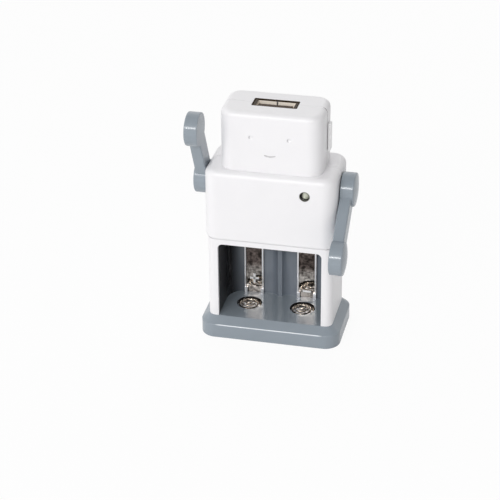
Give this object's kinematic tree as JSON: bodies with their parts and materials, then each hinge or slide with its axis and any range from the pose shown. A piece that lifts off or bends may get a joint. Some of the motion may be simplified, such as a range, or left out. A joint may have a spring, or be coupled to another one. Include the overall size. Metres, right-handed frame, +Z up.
{
  "type": "battery usb charger",
  "caption": "Robot-shaped USB charger: battery bay with contact springs between white legs, lift-off chest and head with a USB socket on top, and two arms that turn at the shoulders.",
  "frame": {"origin": "centre of the flat underside of the plinth", "axes": "+Z up, -Y towards the face and the open battery bay, +X towards the side with the on/off slider"},
  "size_m": [0.0546, 0.0382, 0.0822],
  "materials": {
    "white_shell": "satin moulded ABS",
    "grey_plastic": "satin moulded ABS",
    "bay_grey": "semi-gloss moulded ABS",
    "bay_black": "semi-gloss moulded ABS",
    "nickel_strip": "bright nickel plate",
    "spring_steel": "nickel-plated wire",
    "socket_steel": "bright plated steel",
    "socket_insert": "moulded insulator",
    "contact_gold": "gold flash",
    "screw_steel": "zinc plated",
    "board_green": "solder mask",
    "component_black": "moulded package",
    "capacitor_tan": "ceramic",
    "led_lens": "clear moulded lens",
    "flex_amber": "polyimide film",
    "washer_black": "matt"
  },
  "bodies": {
    "base_unit": {"plinth": "grey_plastic", "bottom_cover": "grey_plastic", "cover_screws": "screw_steel", "leg_frame": "white_shell", "battery_tray": "bay_grey", "bay_side_walls": "bay_black", "positive_spring": "spring_steel", "negative_spring": "spring_steel", "positive_strip": "nickel_strip", "negative_strip": "nickel_strip"},
    "upper_unit": {"front_shell": "white_shell", "back_shell": "white_shell", "shell_screws": "screw_steel", "contact_carrier": "component_black", "bridge_plate": "nickel_strip", "pickup_contacts": "nickel_strip", "main_board": "board_green", "board_screws": "screw_steel", "usb_shell": "socket_steel", "usb_tongue": "socket_insert", "usb_contacts": "contact_gold", "boost_coil": "component_black", "converter_chip": "component_black", "capacitors": "capacitor_tan", "status_led": "led_lens", "led_flex": "flex_amber", "switch_body": "component_black"},
    "left_arm_unit": {"left_arm": "grey_plastic", "left_pivot_clip": "screw_steel", "left_friction_washer": "washer_black"},
    "right_arm_unit": {"right_arm": "grey_plastic", "right_pivot_clip": "screw_steel", "right_friction_washer": "washer_black"},
    "power_slider": {"switch_slider": "white_shell"}
  },
  "joints": [
    {"name": "upper_lift", "type": "slide", "parent": "base_unit", "child": "upper_unit", "axis": [0, 0, 1], "range_m": [0, 0.03]},
    {"name": "left_shoulder", "type": "hinge", "parent": "upper_unit", "child": "left_arm_unit", "pos_m": [-0.0222, 0, 0.0539], "axis": [1, 0, 0], "continuous": true},
    {"name": "right_shoulder", "type": "hinge", "parent": "upper_unit", "child": "right_arm_unit", "pos_m": [0.0222, 0, 0.0539], "axis": [1, 0, 0], "continuous": true},
    {"name": "power_switch", "type": "slide", "parent": "upper_unit", "child": "power_slider", "axis": [0, 0, 1], "range_m": [0, 0.002]}
  ]
}
